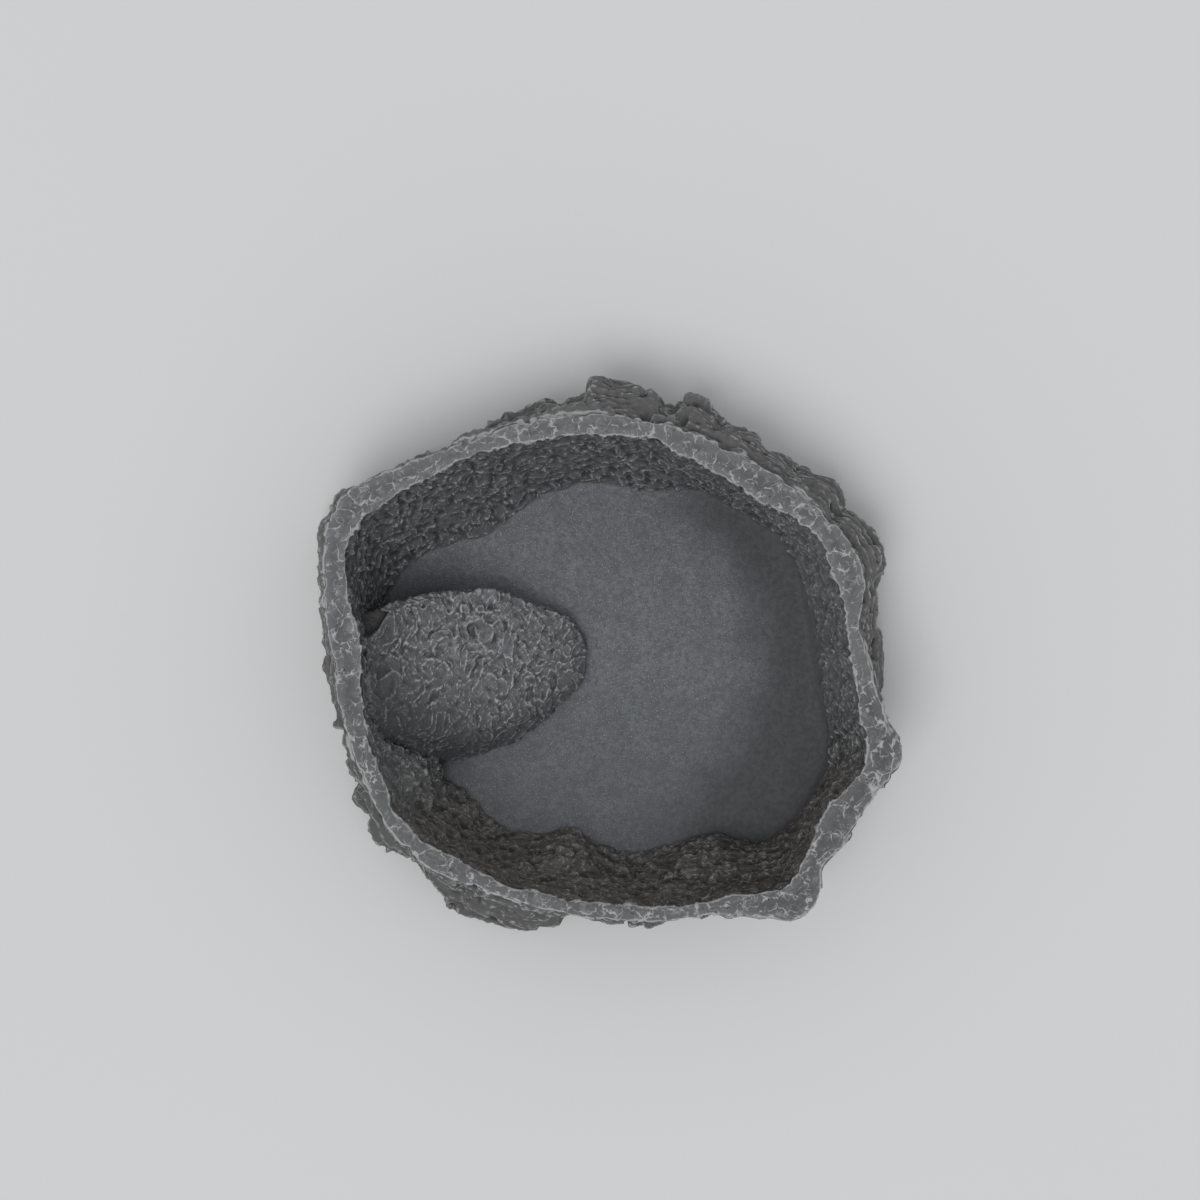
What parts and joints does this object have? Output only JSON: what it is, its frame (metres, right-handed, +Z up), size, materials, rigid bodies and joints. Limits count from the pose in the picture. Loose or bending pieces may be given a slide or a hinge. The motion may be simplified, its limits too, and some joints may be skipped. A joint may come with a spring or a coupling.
{
  "type": "rock water dish",
  "caption": "Low stone-look resin basin with a stacked-slate wall, a smooth floor and a bonded climbing ramp that rises from the floor to the rim.",
  "frame": {"origin": "on the surface the dish stands on, under the middle of the dish's length and width", "axes": "+Z up out of the basin; +X to the right, along the length, from the ramp's head towards its toe; +Y towards the back"},
  "size_m": [0.2, 0.192, 0.05],
  "materials": {
    "rock_resin": "matt, dry-brushed grey",
    "ramp_resin": "matt, dry-brushed grey",
    "adhesive": "cured epoxy",
    "pad_foam": "fine closed-cell foam"
  },
  "bodies": {
    "root": {"dish_casting": "rock_resin", "climbing_ramp": "ramp_resin", "ramp_adhesive": "adhesive", "foot_pad_front_left": "pad_foam", "foot_pad_front_right": "pad_foam", "foot_pad_back_left": "pad_foam", "foot_pad_back_right": "pad_foam"}
  },
  "joints": []
}
